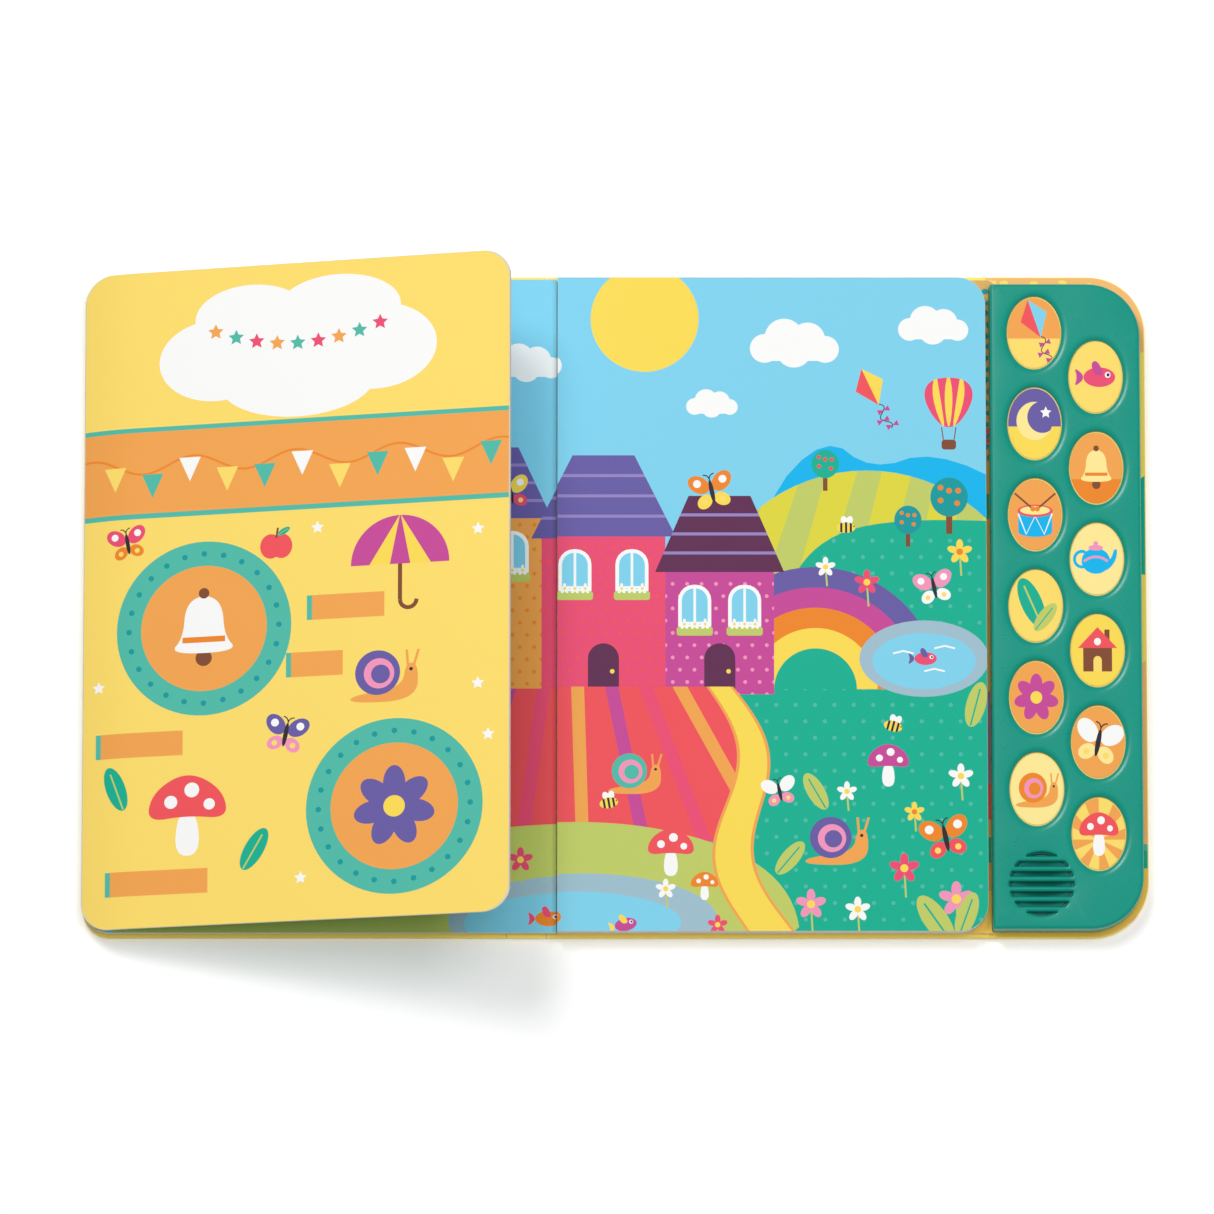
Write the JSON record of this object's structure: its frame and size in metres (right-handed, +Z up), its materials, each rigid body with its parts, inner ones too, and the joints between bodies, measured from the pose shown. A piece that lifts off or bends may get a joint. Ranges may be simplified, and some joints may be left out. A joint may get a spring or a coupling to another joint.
{
  "type": "board book with sound module",
  "caption": "Open board book with a raised lift flap and a sound module of oval picture buttons beside its pages.",
  "frame": {"origin": "on the table under the gutter, halfway up the book, on the back cover's underside", "axes": "+X from the gutter to the sound module, +Y to the head of the book, +Z up from the table"},
  "size_m": [0.4119, 0.26, 0.0645],
  "materials": {
    "printed_cover_board": "satin",
    "printed_liner_paper": "satin",
    "printed_page_board": "satin",
    "teal_plastic": "satin",
    "dark_teal_plastic": "matte",
    "button_plastic": "gloss",
    "dome_rubber": "matte",
    "circuit_laminate": "satin",
    "black_resin": "satin",
    "capacitor_ceramic": "matte",
    "cell_steel": "satin",
    "contact_steel": "satin",
    "screw_steel": "satin",
    "speaker_steel": "satin",
    "speaker_paper": "matte",
    "gasket_foam": "matte",
    "red_wire": "satin",
    "black_wire": "satin"
  },
  "bodies": {
    "back": {"back_cover": "printed_cover_board", "back_liner": "printed_liner_paper", "right_pages": "printed_page_board", "module_front_shell": "teal_plastic", "module_back_shell": "dark_teal_plastic", "battery_door": "dark_teal_plastic", "battery_door_screw": "screw_steel", "battery_1": "cell_steel", "battery_2": "cell_steel", "battery_3": "cell_steel", "contact_bridge_head": "contact_steel", "contact_minus": "contact_steel", "contact_bridge_tail": "contact_steel", "contact_plus": "contact_steel", "circuit_board": "circuit_laminate", "sound_chip": "black_resin", "board_capacitor": "capacitor_ceramic", "dome_mat": "dome_rubber", "speaker_frame": "speaker_steel", "speaker_magnet": "speaker_steel", "speaker_cone": "speaker_paper", "speaker_gasket": "gasket_foam", "speaker_wire_red": "red_wire", "speaker_wire_black": "black_wire"},
    "left_pages": {"turned_pages": "printed_page_board", "folded_leaf": "printed_page_board"},
    "spine": {"spine": "printed_cover_board"},
    "front_cover": {"front_cover": "printed_cover_board"},
    "button_01": {"button_01": "button_plastic"},
    "button_02": {"button_02": "button_plastic"},
    "button_03": {"button_03": "button_plastic"},
    "button_04": {"button_04": "button_plastic"},
    "button_05": {"button_05": "button_plastic"},
    "button_06": {"button_06": "button_plastic"},
    "button_07": {"button_07": "button_plastic"},
    "button_08": {"button_08": "button_plastic"},
    "button_09": {"button_09": "button_plastic"},
    "button_10": {"button_10": "button_plastic"},
    "button_11": {"button_11": "button_plastic"},
    "button_12": {"button_12": "button_plastic"}
  },
  "joints": [
    {"name": "pages_hinge", "type": "hinge", "parent": "back", "child": "left_pages", "pos_m": [0, 0, 0.0101], "axis": [0, 1, 0], "range_deg": [0, 104]},
    {"name": "spine_hinge", "type": "hinge", "parent": "back", "child": "spine", "pos_m": [-0.00405, 0, 0.0025], "axis": [0, 1, 0], "range_deg": [0, 70]},
    {"name": "front_cover_hinge", "type": "hinge", "parent": "spine", "child": "front_cover", "pos_m": [-0.01935, 0, 0.0025], "axis": [0, 1, 0], "range_deg": [0, 37]},
    {"name": "button_01_press", "type": "slide", "parent": "back", "child": "button_01", "axis": [0, 0, -1], "range_m": [0, 0.0006], "stiffness_N_per_m": 1500},
    {"name": "button_02_press", "type": "slide", "parent": "back", "child": "button_02", "axis": [0, 0, -1], "range_m": [0, 0.0006], "stiffness_N_per_m": 1500},
    {"name": "button_03_press", "type": "slide", "parent": "back", "child": "button_03", "axis": [0, 0, -1], "range_m": [0, 0.0006], "stiffness_N_per_m": 1500},
    {"name": "button_04_press", "type": "slide", "parent": "back", "child": "button_04", "axis": [0, 0, -1], "range_m": [0, 0.0006], "stiffness_N_per_m": 1500},
    {"name": "button_05_press", "type": "slide", "parent": "back", "child": "button_05", "axis": [0, 0, -1], "range_m": [0, 0.0006], "stiffness_N_per_m": 1500},
    {"name": "button_06_press", "type": "slide", "parent": "back", "child": "button_06", "axis": [0, 0, -1], "range_m": [0, 0.0006], "stiffness_N_per_m": 1500},
    {"name": "button_07_press", "type": "slide", "parent": "back", "child": "button_07", "axis": [0, 0, -1], "range_m": [0, 0.0006], "stiffness_N_per_m": 1500},
    {"name": "button_08_press", "type": "slide", "parent": "back", "child": "button_08", "axis": [0, 0, -1], "range_m": [0, 0.0006], "stiffness_N_per_m": 1500},
    {"name": "button_09_press", "type": "slide", "parent": "back", "child": "button_09", "axis": [0, 0, -1], "range_m": [0, 0.0006], "stiffness_N_per_m": 1500},
    {"name": "button_10_press", "type": "slide", "parent": "back", "child": "button_10", "axis": [0, 0, -1], "range_m": [0, 0.0006], "stiffness_N_per_m": 1500},
    {"name": "button_11_press", "type": "slide", "parent": "back", "child": "button_11", "axis": [0, 0, -1], "range_m": [0, 0.0006], "stiffness_N_per_m": 1500},
    {"name": "button_12_press", "type": "slide", "parent": "back", "child": "button_12", "axis": [0, 0, -1], "range_m": [0, 0.0006], "stiffness_N_per_m": 1500}
  ],
  "couplings": [
    {"joint": "spine_hinge", "follows": "pages_hinge", "ratio": 0.66},
    {"joint": "front_cover_hinge", "follows": "pages_hinge", "ratio": 0.34}
  ]
}
